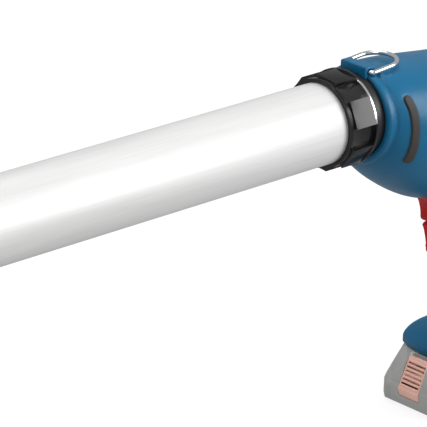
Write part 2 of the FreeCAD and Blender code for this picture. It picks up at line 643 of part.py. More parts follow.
def gearbox_case():
    wall_s0, wall_s1 = 86.2, 90.0
    parts = []
    for sign in (1, -1):
        y0, y1 = sorted((sign * PLATE_Y0, sign * PLATE_Y1))
        parts.append(side_plate(y0, y1))
        parts.append(sbox(TRAIN_S, wall_s1, y0, y1, -50.0, -24.0))
    parts.append(sbox(wall_s0, wall_s1, -PLATE_Y1, PLATE_Y1, -56.0, -24.0))
    parts.append(cyl_x(wall_s1 - 0.5, 105.8, 20.0, CROSS_AXIS_H))
    case = fuse(parts)
    case = case.cut(cyl_x(wall_s1, 110.0, 18.5, CROSS_AXIS_H))
    case = case.cut(cyl_x(60.0, 95.0, SHAFT_R + SPIN_GAP, CROSS_AXIS_H))
    for h in (RACK_AXIS_H, CROSS_AXIS_H):
        case = case.cut(cyl_y(-40, 40, BUSH_R, TRAIN_S, h))
    return case.cut(cyl_y(-40, 40, ROLLER_PIN_R + SPIN_GAP, TRAIN_S, ROLLER_H))


def shaft_bearings():
    out = []
    for h, r in ((RACK_AXIS_H, SHAFT_R), (CROSS_AXIS_H, CROSS_R)):
        for y0, y1 in ((-PLATE_Y1, -PLATE_Y0), (PLATE_Y0, PLATE_Y1)):
            out.append(ring_y(y0, y1, BUSH_R, r + SPIN_GAP, TRAIN_S, h))
    return Part.makeCompound(out)


def guide_roller():
    roller = turned_y([(-6.5, 6.2), (-5.2, 6.2), (-5.2, ROLLER_R), (5.2, ROLLER_R), (5.2, 6.2), (6.5, 6.2)],
                      TRAIN_S, ROLLER_H)
    return roller.cut(cyl_y(-20, 20, ROLLER_PIN_R, TRAIN_S, ROLLER_H))


def turned_y(profile, s, h):
    pts = [V(st(s), profile[0][0], ht(h))] + [V(st(s), y, ht(h) + r) for y, r in profile]
    pts += [V(st(s), profile[-1][0], ht(h))]
    return Part.Face(Part.makePolygon(pts + pts[:1])).revolve(V(st(s), 0, ht(h)), V(0, 1, 0), 360)


def pivot_pins():
    """Guide roller's axle and lock-off lever's pin."""
    roller = cyl_y(-24.0, 24.0, ROLLER_PIN_R, TRAIN_S, ROLLER_H)
    return Part.makeCompound([roller, cyl_y(-9.0, 9.0, LEVER_PIN_R, LEVER_S, LEVER_H)])


def rack_pinion():
    gear = spur(PINION_T, RACK_M, 1.2, 1.7, 0.12, 9.6, SHAFT_R, 90.0)
    return onto_y(gear, TRAIN_S, -4.8, RACK_AXIS_H)


def drive_gear():
    gear = spur(WHEEL_T, SPUR_M, 0.75, 1.4, 0.12, 8.0, SHAFT_R, -90.0)
    holes = [Part.makeCylinder(2.2, 12, V(9.2 * math.cos(a), 9.2 * math.sin(a), -1))
             for a in (math.radians(60.0 * k) for k in range(6))]
    return onto_y(gear.cut(Part.makeCompound(holes)), TRAIN_S, 9.0, RACK_AXIS_H)


def idler_pinion():
    phase = 90.0 - 180.0 / IDLER_T
    gear = spur(IDLER_T, SPUR_M, 1.0, 1.2, 0.12, 8.0, CROSS_R, phase)
    return onto_y(gear, TRAIN_S, 9.0, CROSS_AXIS_H)


def rack_shaft():
    return cyl_y(-24.5, 24.5, SHAFT_R, TRAIN_S, RACK_AXIS_H)


def cross_shaft():
    return cyl_y(-24.5, 24.5, CROSS_R, TRAIN_S, CROSS_AXIS_H)


def bevel_wheel():
    phase = 180.0 / BEVEL_WHEEL_T
    gear = bevel(BEVEL_WHEEL_T, BEVEL_PINION_T, BEVEL_M, 0.8, 1.05, 0.14, 0.3, CROSS_R, 7.0, 6.0, phase)
    gear.rotate(V(0, 0, 0), V(1, 0, 0), 90)
    gear.translate(V(st(TRAIN_S), 0, ht(CROSS_AXIS_H)))
    return gear


def bevel_pinion():
    gear = bevel(BEVEL_PINION_T, BEVEL_WHEEL_T, BEVEL_M, 0.8, 1.05, 0.14, 0.3, SHAFT_R, 6.5, 1.2, 0.0)
    gear.rotate(V(0, 0, 0), V(0, 1, 0), 90)
    gear.rotate(V(0, 0, 0), V(1, 0, 0), -90)
    gear.translate(V(st(TRAIN_S), 0, ht(CROSS_AXIS_H)))
    return gear


def orbit_points():
    angles = [math.radians(120.0 * k) for k in range(3)]
    return [(PLANET_ORBIT * math.cos(a), PLANET_ORBIT * math.sin(a)) for a in angles]


def planet_carrier():
    shaft = cyl_x(79.0, CARRIER_S + 0.5, SHAFT_R, CROSS_AXIS_H)
    disc = cyl_x(CARRIER_S, CARRIER_S + 2.6, 15.0, CROSS_AXIS_H)
    pins = [cyl_x(CARRIER_S + 1, PLANET_S0 + PLANET_W + 0.4, PLANET_PIN_R, CROSS_AXIS_H + dz, dy)
            for dy, dz in orbit_points()]
    return fuse([shaft, disc] + pins)


def planets():
    out = []
    for k, (dy, dz) in enumerate(orbit_points()):
        gear = spur(PLANET_T, PLAN_M, 0.42, 0.62, 0.07, PLANET_W, PLANET_PIN_R + SPIN_GAP, 180.0 / PLANET_T)
        gear = onto_x(gear, PLANET_S0, CROSS_AXIS_H)
        gear.translate(V(0, dy, dz))
        out.append(gear)
    return out


def ring_gear():
    cutter = Part.Face(gear_outline(RING_T, PLAN_M, 0.62, 0.4, -0.07, 180.0 / RING_T)).extrude(V(0, 0, 12))
    cutter.translate(V(0, 0, -2))
    blank = Part.makeCylinder(18.5, 8.0)
    return onto_x(blank.cut(cutter), PLANET_S0 - 0.4, CROSS_AXIS_H)


def sun_gear():
    gear = spur(SUN_T, PLAN_M, 0.42, 0.62, 0.07, 8.6, 0.0, 0.0)
    return onto_x(gear, PLANET_S0, CROSS_AXIS_H)


def motor_can():
    can = ring_x(MOTOR_S0, MOTOR_S1, MOTOR_R, MOTOR_R - 1.8, CROSS_AXIS_H)
    front = ring_x(MOTOR_S0, MOTOR_S0 + 2.0, MOTOR_R - 1.0, MOTOR_SHAFT_R + SPIN_GAP, CROSS_AXIS_H)
    can = can.fuse(front)
    slots = []
    for k in range(6):
        slot = sbox(138.0, 143.5, -3.0, 3.0, CROSS_AXIS_H + 14.0, CROSS_AXIS_H + 22.0)
        slot.rotate(V(0, 0, ht(CROSS_AXIS_H)), V(1, 0, 0), 60.0 * k + 30.0)
        slots.append(slot)
    return can.cut(Part.makeCompound(slots))


def motor_magnets():
    ring = ring_x(111.0, 135.0, MOTOR_R - 1.85, 14.6, CROSS_AXIS_H)
    gaps = [sbox(100, 140, -2.2, 2.2, CROSS_AXIS_H - 25, CROSS_AXIS_H + 25)]
    return ring.cut(gaps[0])


def motor_end_bell():
    bell = turned_x([(MOTOR_S1, MOTOR_SHAFT_R + SPIN_GAP), (MOTOR_S1, MOTOR_R), (MOTOR_S1 + 3.0, MOTOR_R),
                     (MOTOR_S1 + 5.0, 15.0), (MOTOR_S1 + 5.0, MOTOR_SHAFT_R + SPIN_GAP)], CROSS_AXIS_H)
    lugs = [sbox(MOTOR_S1 + 5.0, MOTOR_S1 + 9.0, y - 1.5, y + 1.5, CROSS_AXIS_H + 6, CROSS_AXIS_H + 7)
            for y in (-8.0, 8.0)]
    return fuse([bell] + lugs)


def motor_rotor():
    core = cyl_x(112.0, 134.0, 14.0, CROSS_AXIS_H).cut(cyl_x(100, 150, MOTOR_SHAFT_R, CROSS_AXIS_H))
    slots = []
    for k in range(9):
        slot = sbox(110, 136, -0.7, 0.7, CROSS_AXIS_H + 9.0, CROSS_AXIS_H + 15.0)
        slot.rotate(V(0, 0, ht(CROSS_AXIS_H)), V(1, 0, 0), 40.0 * k)
        slots.append(slot)
    return core.cut(Part.makeCompound(slots))


def motor_windings():
    ends = [turned_x([(s0, 5.0), (s0, 11.5), (s0 + 1.0, 12.5), (s1, 12.5), (s1, 5.0)], CROSS_AXIS_H)
            for s0, s1 in ((109.0, 111.95),)]
    cap = [(134.05, 5.0), (134.05, 12.5), (136.0, 12.5), (137.0, 11.5), (137.0, 5.0)]
    ends.append(turned_x(cap, CROSS_AXIS_H))
    return Part.makeCompound(ends)


def motor_shaft():
    """Shaft with the sun gear cut on its front end."""
    return sun_gear().fuse(cyl_x(PLANET_S0 + 4.0, 150.5, MOTOR_SHAFT_R, CROSS_AXIS_H))


def cooling_fan():
    parts = [ring_x(138.0, 139.2, 16.4, MOTOR_SHAFT_R, CROSS_AXIS_H),
             ring_x(138.0, 144.5, 4.0, MOTOR_SHAFT_R, CROSS_AXIS_H)]
    for k in range(11):
        blade = sbox(138.5, 144.0, -0.5, 0.5, CROSS_AXIS_H + 7.0, CROSS_AXIS_H + 16.2)
        blade.rotate(V(0, 0, ht(CROSS_AXIS_H)), V(1, 0, 0), 360.0 / 11 * k)
        parts.append(blade)
    return fuse(parts)


# ---- handle parts -------------------------------------------------------------------
def smooth_front(points, rear, width, fillet):
    """Prism with a smooth curved front edge through points and straight rear corners."""
    curve = Part.BSplineCurve()
    curve.interpolate([V(st(s), -width, ht(h)) for s, h in points])
    corners = [V(st(s), -width, ht(h)) for s, h in [points[-1]] + rear + [points[0]]]
    lines = [Part.makeLine(a, b) for a, b in zip(corners, corners[1:])]
    solid = Part.Face(Part.Wire([curve.toShape()] + lines)).extrude(V(0, 2 * width, 0))
    front_x = st(max(s for s, _ in points)) + 0.5
    def side_front(e):
        return e.CenterOfMass.x < front_x and abs(abs(e.CenterOfMass.y) - width) < 0.01
    return smooth_fillet(solid, fillet, side_front)


def trigger():
    front = [(106.4, -77.6), (110.6, -82.0), (113.6, -89.0), (114.6, -94.0), (115.0, -97.0),
             (118.2, -100.0)]
    return smooth_front(front, [(126.5, -100.0), (126.5, -80.0), (122.0, -76.4), (109.0, -76.4)], 6.2, 2.2)


LEVER_S, LEVER_H, LEVER_PIN_R = 126.6, -122.0, 1.5


def lock_off_lever():
    front = [(117.2, -103.2), (119.4, -108.0), (121.2, -114.0), (122.4, -120.0), (122.8, -124.0),
             (124.6, -126.4)]
    back = [(128.5, -126.0), (129.8, -121.0), (129.0, -103.0), (125.0, -101.6), (119.0, -101.6)]
    lever = smooth_front(front, back, 6.2, 2.0)
    return lever.cut(cyl_y(-20, 20, LEVER_PIN_R + SPIN_GAP, LEVER_S, LEVER_H))


def coil(radius, wire, length, turns, origin, direction):
    helix = Part.makeHelix(length / turns, length, radius)
    profile = Part.Wire([Part.makeCircle(wire, V(radius, 0, 0), V(0, 1, 0))])
    spring = Part.Wire(helix).makePipeShell([profile], True, True)
    turn = FreeCAD.Rotation(V(0, 0, 1), direction)
    spring.Placement = FreeCAD.Placement(origin, turn)
    return spring


def trigger_spring():
    return coil(3.0, 0.4, 8.0, 5, V(st(127.6), 0, ht(-88.0)), V(1, 0, 0))


def switch_module():
    body = sbox(136.4, 158.0, -9.5, 9.5, -119.0, -83.0)
    body = smooth_fillet(body, 1.5, lambda e: is_along(e, V(0, 1, 0)))
    top, low = V(st(143.0), 0, ht(-118.0)), V(st(157.0), 0, ht(-201.0))
    run = low - top
    wires = [Part.makeCylinder(1.3, run.Length, top + V(0, y, 0), run) for y in (-3.0, 3.0)]
    return fuse([body] + wires)


def release_button():
    cap = cyl_z(16.0, 27.0, BUTTON_R, BUTTON_S)
    cap = smooth_fillet(cap, 1.5, lambda e: abs(e.CenterOfMass.z - ht(27.0)) < 0.01)
    return cap.fuse(cyl_z(10.6, 16.0, 2.2, BUTTON_S))


def release_spring():
    return coil(3.5, 0.4, 4.9, 4, V(st(BUTTON_S), 0, ht(10.45)), V(0, 0, 1))


def button_seat():
    """Bridge over the rod that carries the release button's spring."""
    seat = sbox(BUTTON_S - 6.5, BUTTON_S + 6.5, -13.0, 13.0, 8.4, 9.9)
    legs = [sbox(BUTTON_S - 6.5, BUTTON_S + 6.5, y, y + 2.0, -10.0, 8.4) for y in (-13.0, 11.0)]
    return fuse([seat] + legs).cut(cyl_z(0, 20, 2.6, BUTTON_S))


def speed_dial():
    dial = turned_y([(-7.0, 0.0), (-7.0, 2.0), (-4.0, 2.0), (-4.0, DIAL_R - 0.6), (-3.4, DIAL_R),
                     (3.4, DIAL_R), (4.0, DIAL_R - 0.6), (4.0, 2.0), (9.5, 2.0), (9.5, 0.0)], DIAL_S, DIAL_H)
    reach, turns = DIAL_R + 0.25, [math.radians(20.0 * k) for k in range(18)]
    notches = [cyl_y(-5, 5, 0.7, DIAL_S + reach * math.cos(a), DIAL_H + reach * math.sin(a)) for a in turns]
    return dial.cut(Part.makeCompound(notches))


def control_board():
    board = sbox(146.0, 199.0, -22.0, 22.0, -203.6, -202.0)
    chips = [sbox(160.5, 171.5, -8.0, 8.0, -202.0, -199.5), sbox(178.0, 186.0, 6.0, 16.0, -202.0, -198.0)]
    chips += [cyl_z(-202.0, -195.0, 4.0, 180.0, -8.0)]
    pot = sbox(206.5, 212.6, 5.0, 9.0, -203.6, -192.2).cut(cyl_y(0, 12, 2.05, DIAL_S, DIAL_H))
    link = sbox(198.9, 212.6, 5.0, 9.0, -203.6, -202.0).cut(cyl_y(0, 12, 2.05, DIAL_S, DIAL_H))
    return fuse([board] + chips + [pot, link])


def grip_sleeve():
    outline = [(141.0, -86.0), (190.0, -80.0), (198.0, -150.0), (158.0, -158.0), (149.0, -122.0)]
    region = prism_y(outline, -40, 40)
    return handle_loft(1.4).cut(handle_loft(0.0)).cut(body_loft(0.05)).common(region)


# ---- battery -------------------------------------------------------------------------
RAIL_STEM, RAIL_FLANGE, RAIL_S0, RAIL_S1 = 13.0, 18.0, 133.0, 221.0
CASE_SPLIT_H = -224.0
BATTERY_SIDE = [(112.0, -242.0), (107.4, -235.0), (106.4, -227.0), (112.8, -210.5), (116.0, -204.6),
                (117.4, -204.0), (122.4, -204.0), (123.6, -208.0), (229.0, -208.0), (230.0, -210.0),
                (230.0, -238.0), (226.5, -242.0)]
BATTERY_PLAN = [(104.0, -20.0), (107.4, -22.0), (118.6, -34.6), (122.4, -36.0), (224.0, -36.0),
                (230.0, -31.0)]
# the sloping front corners: three points of the +Y one
CORNER_PLANE = [(119.5, 36.0, -231.0), (141.0, 36.0, -208.0), (116.0, 11.6, -208.0)]
HUMP_W = 11.6
LATCH_SIDE = [(116.4, -204.6), (106.0, -227.0), (107.6, -232.6), (111.6, -232.6), (110.6, -227.0),
              (120.4, -206.0)]
LATCH_W, SPRING_H = 9.4, -221.4
CELL_R, CELL_H, CELL_S0, CELL_STEP = 9.1, -230.3, 137.2, 19.2
CASE_WALL = 2.2


def corner_wedges(inset):
    """Cutters for the two sloping front corners, moved into the case by inset."""
    a, b, c = [V(st(s), y, ht(h)) for s, y, h in CORNER_PLANE]
    outward = (b - a).cross(c - a).normalize() * -1.0
    wedge = Part.makeBox(80.0, 80.0, 40.0, V(-40.0, -40.0, 0.0))
    wedge.Placement = FreeCAD.Placement(a - outward * inset, FreeCAD.Rotation(V(0, 0, 1), outward))
    return wedge, mirror_y(wedge)


def battery_outer():
    side = prism_y(BATTERY_SIDE, -40.0, 40.0)
    plan = BATTERY_PLAN + [(s, -y) for s, y in BATTERY_PLAN[::-1]]
    pts = [V(st(s), y, -5.0) for s, y in plan]
    column = Part.Face(Part.makePolygon(pts + pts[:1])).extrude(V(0, 0, 80.0))
    solid = side.common(column)
    for cutter in corner_wedges(0.0):
        solid = solid.cut(cutter)
    for y0, y1 in ((HUMP_W, 40.0), (-40.0, -HUMP_W)):
        solid = solid.cut(sbox(100.0, 130.0, y0, y1, -208.0, -200.0))
    solid = smooth_fillet(solid, 2.0, lambda e: is_along(e, V(0, 0, 1)) and e.CenterOfMass.x > st(121.0))
    return smooth_fillet(solid, 1.0, lambda e: e.CenterOfMass.z > ht(-204.0) and abs(e.CenterOfMass.y) < 0.1)


def battery_cases():
    solid = battery_outer()
    cavity = sbox(119.0, 227.4, -33.6, 33.6, -240.0, -219.4)
    for cutter in corner_wedges(CASE_WALL):
        cavity = cavity.cut(cutter)
    solid = solid.cut(cavity)
    solid = solid.cut(sbox(132.0, 240.0, -RAIL_STEM - 0.5, RAIL_STEM + 0.5, -212.5, -200.0))
    solid = solid.cut(sbox(132.0, 240.0, -RAIL_FLANGE - 0.5, RAIL_FLANGE + 0.5, -216.6, -211.4))
    window = prism_y([(113.0, -203.0), (100.0, -233.0), (114.0, -233.0), (113.0, -227.0), (122.8, -205.6),
                      (120.0, -200.0)], -LATCH_W - 0.4, LATCH_W + 0.4)
    solid = solid.cut(window).cut(cyl_x(112.0, 118.0, 2.5, SPRING_H))
    for s in terminal_stations():
        solid = solid.cut(sbox(s, s + 9.0, -15.0, 15.0, -217.6, -216.0))
    lower = solid.common(sbox(90.0, 250.0, -50, 50, -250.0, CASE_SPLIT_H))
    upper = solid.common(sbox(90.0, 250.0, -50, 50, CASE_SPLIT_H, -190.0))
    return lower, upper


STRIP_YS = (-12.0, -4.0, 4.0, 12.0)


def terminal_stations():
    return (138.0, 152.0)


def battery_terminals():
    strips = []
    for s in terminal_stations():
        strips += [sbox(s + 0.2, s + 8.8, y - 2.0, y + 2.0, -217.6, -216.8) for y in STRIP_YS]
    return Part.makeCompound(strips)


def battery_latch():
    latch = prism_y(LATCH_SIDE, -LATCH_W, LATCH_W)
    (s0, h0), (s1, h1) = LATCH_SIDE[0], LATCH_SIDE[1]
    slope = math.degrees(math.atan2(s0 - s1, h0 - h1))
    ribs = []
    for k in range(7):
        f = (k + 1.0) / 8.0
        rib = cyl_y(-LATCH_W + 1.2, LATCH_W - 1.2, 0.9, s1 + (s0 - s1) * f, h1 + (h0 - h1) * f)
        ribs.append(rib)
    return fuse([latch, cyl_x(111.0, 115.4, 1.2, SPRING_H)] + ribs)


def latch_spring():
    return coil(1.8, 0.3, 2.6, 4, V(st(114.8), 0, ht(SPRING_H)), V(1, 0, 0))


def battery_cells():
    cells = []
    for k in range(5):
        s = CELL_S0 + CELL_STEP * k
        can = cyl_y(-32.5, 32.5, CELL_R, s, CELL_H)
        cells.append(can.fuse(cyl_y(32.5, 33.3, 3.0, s, CELL_H)))
    return Part.makeCompound(cells)


def battery_rail():
    """Slide rail under the foot; the pack leaves it towards the front."""
    deck = foot_solid(-WALL - 0.15).common(sbox(100, 250, -60, 60, FOOT_H0, FOOT_H0 + 2.4))
    stem = sbox(RAIL_S0, RAIL_S1, -RAIL_STEM, RAIL_STEM, -212.2, FOOT_H0 + 0.2)
    flange = sbox(RAIL_S0, RAIL_S1, -RAIL_FLANGE, RAIL_FLANGE, -215.9, -212.0)
    rail = fuse([deck, stem, flange])
    for s in terminal_stations():
        rail = rail.cut(sbox(s, s + 9.0, -15.0, 15.0, -216.5, -215.1))
    return rail


def rail_contacts():
    strips = []
    for s in terminal_stations():
        strips += [sbox(s + 0.2, s + 8.8, y - 2.0, y + 2.0, -215.8, -215.1) for y in STRIP_YS]
    return Part.makeCompound(strips)


# ---- build ----------------------------------------------------------------------------
def main():
    os.makedirs("parts", exist_ok=True)
    halves, screws = housings()
    lower, upper = battery_cases()
    planet = planets()
    nodes = {
        "left_housing": halves["left"], "right_housing": halves["right"], "housing_screws": screws,
        "battery_case_lower": lower, "battery_case_upper": upper,
        "planet_gear_1": planet[0], "planet_gear_2": planet[1], "planet_gear_3": planet[2],
        "lock_washer": ring_x(WASHER_S0, WASHER_S1, WASHER_R, 28.2),
        "side_bumper_left": side_bumper(-1), "side_bumper_right": side_bumper(1),
    }
    makers = (barrel_tube, coupling_ring, neck_collar, front_cap, nozzle, piston_rod, piston_plate,
              piston_seal, rod_fasteners, rod_grip, rod_guides, rear_cap, hanger_lug, hanging_ring, gearbox_case,
              shaft_bearings, guide_roller, pivot_pins, rack_pinion, drive_gear, idler_pinion, rack_shaft,
              cross_shaft, bevel_wheel, bevel_pinion, planet_carrier, ring_gear, motor_can,
              motor_magnets, motor_end_bell, motor_rotor, motor_windings, motor_shaft, cooling_fan, trigger,
              lock_off_lever, trigger_spring, switch_module, release_button, release_spring,
              speed_dial, control_board, grip_sleeve, battery_latch, latch_spring, battery_cells,
              battery_terminals, battery_rail, rail_contacts)
    for make in makers:
        nodes[make.__name__] = make()
    for name, shape in nodes.items():
        export(name, shape)
        print(name, shape.isValid(), len(shape.Solids), round(shape.Volume))


main()
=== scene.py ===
import json
import math

import bmesh
import bpy
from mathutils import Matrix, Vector


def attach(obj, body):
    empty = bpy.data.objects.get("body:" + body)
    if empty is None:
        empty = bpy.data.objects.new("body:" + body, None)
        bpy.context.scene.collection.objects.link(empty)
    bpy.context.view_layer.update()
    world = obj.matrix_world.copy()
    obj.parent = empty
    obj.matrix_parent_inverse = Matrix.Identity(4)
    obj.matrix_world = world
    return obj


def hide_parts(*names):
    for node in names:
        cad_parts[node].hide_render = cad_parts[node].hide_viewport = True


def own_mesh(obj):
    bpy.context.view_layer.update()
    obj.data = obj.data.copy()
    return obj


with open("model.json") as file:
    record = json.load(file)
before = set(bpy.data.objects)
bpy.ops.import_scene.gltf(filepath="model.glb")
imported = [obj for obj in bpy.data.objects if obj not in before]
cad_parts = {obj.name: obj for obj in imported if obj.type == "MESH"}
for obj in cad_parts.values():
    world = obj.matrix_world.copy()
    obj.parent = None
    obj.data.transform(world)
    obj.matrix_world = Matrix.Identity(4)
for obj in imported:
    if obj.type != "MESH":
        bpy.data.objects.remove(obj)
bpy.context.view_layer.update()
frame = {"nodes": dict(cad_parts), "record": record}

nodes = frame["nodes"]
record = frame["record"]
SLOT_OF = {s["node"]: s["material_slot"] for s in record["subparts"]}
BODY_OF = {n: b for b, ns in record["behaviour"]["bodies"].items() for n in ns}


# ---------------------------------------------------------------- materials
def node_setup(name):
    mat = bpy.data.materials.new(name)
    mat.use_nodes = True
    tree = mat.node_tree
    shader = next(n for n in tree.nodes if n.type == "BSDF_PRINCIPLED")
    return mat, tree, shader


def coords(tree, scale=(1.0, 1.0, 1.0)):
    """Object coordinates in the row frame, stretched by scale."""
    tex = tree.nodes.new("ShaderNodeTexCoord")
    mapping = tree.nodes.new("ShaderNodeMapping")
    mapping.inputs["Scale"].default_value = scale
    tree.links.new(tex.outputs["Object"], mapping.inputs["Vector"])
    return mapping.outputs["Vector"]


def noise(tree, vector, scale, detail=3.0, roughness=0.55):
    tex = tree.nodes.new("ShaderNodeTexNoise")
    tex.inputs["Scale"].default_value = scale
    tex.inputs["Detail"].default_value = detail
    tex.inputs["Roughness"].default_value = roughness
    tree.links.new(vector, tex.inputs["Vector"])
    return tex.outputs["Fac"]


def remap(tree, value, low, high, a=0.3, b=0.7):
    """A number that runs from low to high as value runs from a to b."""
    node = tree.nodes.new("ShaderNodeMapRange")
    node.inputs["From Min"].default_value = a
    node.inputs["From Max"].default_value = b
    node.inputs["To Min"].default_value = low
    node.inputs["To Max"].default_value = high
    tree.links.new(value, node.inputs["Value"])
    return node.outputs["Result"]


def ramp(tree, value, low, high, a=0.3, b=0.7):
    """A colour that runs from low to high as value runs from a to b."""
    node = tree.nodes.new("ShaderNodeValToRGB")
    node.color_ramp.elements[0].position = a
    node.color_ramp.elements[0].color = (*low, 1.0)
    node.color_ramp.elements[1].position = b
    node.color_ramp.elements[1].color = (*high, 1.0)
    tree.links.new(value, node.inputs["Fac"])
    return node.outputs["Color"]


def tint(tree, shader, value, color, below, above):
    """Base colour that drifts with value, from below to above times the given colour."""
    tree.links.new(ramp(tree, value, shade(color, below), shade(color, above)), shader.inputs["Base Color"])


def gloss(tree, shader, value, *span):
    """Roughness that drifts with value."""
    tree.links.new(remap(tree, value, *span), shader.inputs["Roughness"])


def bump(tree, shader, height, strength, distance):
    """One more layer of surface relief, on top of any that is already there."""
    node = tree.nodes.new("ShaderNodeBump")
    node.inputs["Strength"].default_value = strength
    node.inputs["Distance"].default_value = distance
    tree.links.new(height, node.inputs["Height"])
    previous = shader.inputs["Normal"].links
    if previous:
        tree.links.new(previous[0].from_socket, node.inputs["Normal"])
    tree.links.new(node.outputs["Normal"], shader.inputs["Normal"])


def shade(color, k):
    return tuple(min(1.0, c * k) for c in color)


def moulded(name, color, rough=(0.32, 0.44), grain=2600.0, depth=0.00004, coat=0.0, spread=0.08, spec=0.4):
    """Moulded plastic: fine spark-eroded grain, cloudy gloss, slight colour drift."""
    mat, tree, shader = node_setup(name)
    v = coords(tree)
    cloud = noise(tree, v, 38.0, 4.0)
    tint(tree, shader, cloud, color, 1 - spread, 1 + spread)
    gloss(tree, shader, noise(tree, v, 90.0, 5.0), *rough)
    bump(tree, shader, noise(tree, v, grain, 2.0), 0.35, depth)
    bump(tree, shader, noise(tree, v, 55.0, 3.0), 0.05, 0.0006)
    shader.inputs["Coat Weight"].default_value = coat
    shader.inputs["Coat Roughness"].default_value = 0.12
    shader.inputs["Specular IOR Level"].default_value = spec
    return mat


def metal(name, color, rough=(0.2, 0.34), stretch=(1.0, 1.0, 1.0), lines=700.0, depth=0.00002, spread=0.06,
          metallic=1.0):
    """Metal with machining or brushing lines along the axis that stretch makes small."""
    mat, tree, shader = node_setup(name)
    shader.inputs["Metallic"].default_value = metallic
    v = coords(tree, stretch)
    streak = noise(tree, v, lines, 6.0, 0.7)
    tint(tree, shader, streak, color, 1 - spread, 1 + spread)
    gloss(tree, shader, noise(tree, v, lines * 0.6, 5.0, 0.65), *rough)
    bump(tree, shader, streak, 0.3, depth)
    return mat


def rubber(name, color, cell=900.0, depth=0.0001, rough=(0.55, 0.75)):
    """Rubber with a pebbled skin and a little dust."""
    mat, tree, shader = node_setup(name)
    v = coords(tree)
    tex = tree.nodes.new("ShaderNodeTexVoronoi")
    tex.inputs["Scale"].default_value = cell
    tree.links.new(v, tex.inputs["Vector"])
    dust = noise(tree, v, 60.0, 6.0, 0.6)
    tint(tree, shader, dust, color, 0.85, 1.25)
    gloss(tree, shader, dust, *rough)
    bump(tree, shader, tex.outputs["Distance"], 0.4, depth)
    return mat


def board(name):
    """Circuit board: a regular pattern of tracks under green lacquer."""
    mat, tree, shader = node_setup(name)
    v = coords(tree)
    tex = tree.nodes.new("ShaderNodeTexBrick")
    tex.inputs["Scale"].default_value = 160.0
    tex.inputs["Color1"].default_value = (0.02, 0.16, 0.07, 1.0)
    tex.inputs["Color2"].default_value = (0.02, 0.20, 0.09, 1.0)
    tex.inputs["Mortar"].default_value = (0.06, 0.34, 0.16, 1.0)
    tree.links.new(v, tex.inputs["Vector"])
    tree.links.new(tex.outputs["Color"], shader.inputs["Base Color"])
    gloss(tree, shader, noise(tree, v, 300.0), 0.25, 0.4)
    return mat


def winding(name):
    """Copper wire wound in close turns."""
    mat, tree, shader = node_setup(name)
    shader.inputs["Metallic"].default_value = 0.9
    v = coords(tree)
    wave = tree.nodes.new("ShaderNodeTexWave")
    wave.inputs["Scale"].default_value = 420.0
    wave.inputs["Distortion"].default_value = 3.0
    tree.links.new(v, wave.inputs["Vector"])
    copper = ramp(tree, wave.outputs["Fac"], (0.42, 0.13, 0.04), (0.78, 0.33, 0.15))
    tree.links.new(copper, shader.inputs["Base Color"])
    gloss(tree, shader, wave.outputs["Fac"], 0.25, 0.5, 0.0, 1.0)
    bump(tree, shader, wave.outputs["Fac"], 0.6, 0.0002)
    return mat


def barrel_metal(name):
    """Drawn, satin-finished tube: long fine streaks along X over a very even tone."""
    mat, tree, shader = node_setup(name)
    shader.inputs["Metallic"].default_value = 0.3
    fine = noise(tree, coords(tree, (0.02, 1.0, 1.0)), 900.0, 4.0, 0.6)
    broad = noise(tree, coords(tree, (0.05, 1.0, 1.0)), 95.0, 3.0, 0.5)
    mix = tree.nodes.new("ShaderNodeMix")
    mix.data_type = "FLOAT"
    mix.inputs[0].default_value = 0.4
    tree.links.new(fine, mix.inputs[2])
    tree.links.new(broad, mix.inputs[3])
    tone = mix.outputs[0]
    tree.links.new(ramp(tree, tone, (0.75, 0.75, 0.745), (0.85, 0.85, 0.845)), shader.inputs["Base Color"])
    gloss(tree, shader, tone, 0.46, 0.6)
    bump(tree, shader, fine, 0.12, 0.00002)
    return mat


